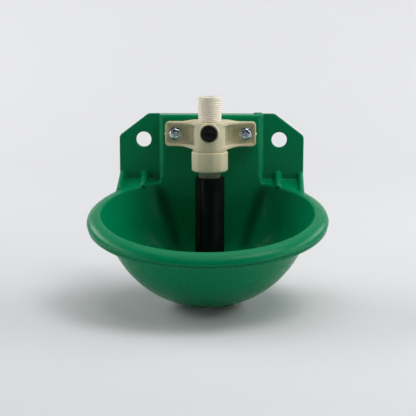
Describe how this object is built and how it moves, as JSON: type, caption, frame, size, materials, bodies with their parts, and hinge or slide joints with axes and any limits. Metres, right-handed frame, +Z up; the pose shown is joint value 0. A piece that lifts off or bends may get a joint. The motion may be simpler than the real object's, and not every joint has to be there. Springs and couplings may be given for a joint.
{
  "type": "livestock drinking bowl",
  "caption": "Wall-mounted livestock drinking bowl with a round rolled rim and a push-tube water valve that opens when the tube is nudged.",
  "frame": {"origin": "midway between the two wall bolt holes, on the wall face of the plate", "axes": "+X to the right seen from the front, +Y into the wall, +Z up; the bowl stands out along -Y"},
  "size_m": [0.206, 0.186, 0.1756],
  "materials": {
    "green_plastic": "glossy moulded green",
    "natural_nylon": "satin natural nylon",
    "black_plastic": "satin black",
    "seal_rubber": "matt black rubber",
    "grey_tube": "satin light grey",
    "black_hose": "smooth black hose",
    "seat_plastic": "white acetal",
    "spring_steel": "bright stainless wire",
    "zinc_steel": "bright zinc plated"
  },
  "bodies": {
    "bowl": {"bowl_shell": "green_plastic", "valve_body": "natural_nylon", "union_nut": "natural_nylon", "nut_gasket": "seal_rubber", "valve_seat": "seat_plastic", "closing_spring": "spring_steel", "spring_retainer": "seat_plastic", "inlet_strainer": "seat_plastic", "valve_screws": "zinc_steel", "front_washers": "zinc_steel", "rear_washers": "zinc_steel", "lock_washers": "zinc_steel", "rear_nuts": "zinc_steel"},
    "regulator": {"flow_regulator": "black_plastic", "regulator_o_ring": "seal_rubber"},
    "tube_turn": {"thrust_washer": "seat_plastic"},
    "push_tube": {"inner_tube": "grey_tube", "tube_sleeve": "black_hose"},
    "closing_disc": {"valve_disc": "seat_plastic", "disc_seal": "seal_rubber"}
  },
  "joints": [
    {"name": "regulator_turn", "type": "hinge", "parent": "bowl", "child": "regulator", "pos_m": [0, -0.039, 0.0107], "axis": [0, -1, 0], "range_deg": [0, 90]},
    {"name": "tube_direction", "type": "hinge", "parent": "bowl", "child": "tube_turn", "pos_m": [0, -0.039, -0.0209], "axis": [0, 0, 1], "continuous": true},
    {"name": "tube_push", "type": "hinge", "parent": "tube_turn", "child": "push_tube", "pos_m": [0, -0.0512, -0.0197], "axis": [1, 0, 0], "range_deg": [0, 5], "stiffness_Nm_per_rad": 0.5, "springref_deg": -11.46},
    {"name": "disc_lift", "type": "slide", "parent": "bowl", "child": "closing_disc", "axis": [0, 0, 1], "range_m": [0, 0.0012], "deforming": ["closing_spring"]}
  ],
  "couplings": [
    {"joint": "disc_lift", "follows": "tube_push", "m_per_rad": 0.0122}
  ]
}
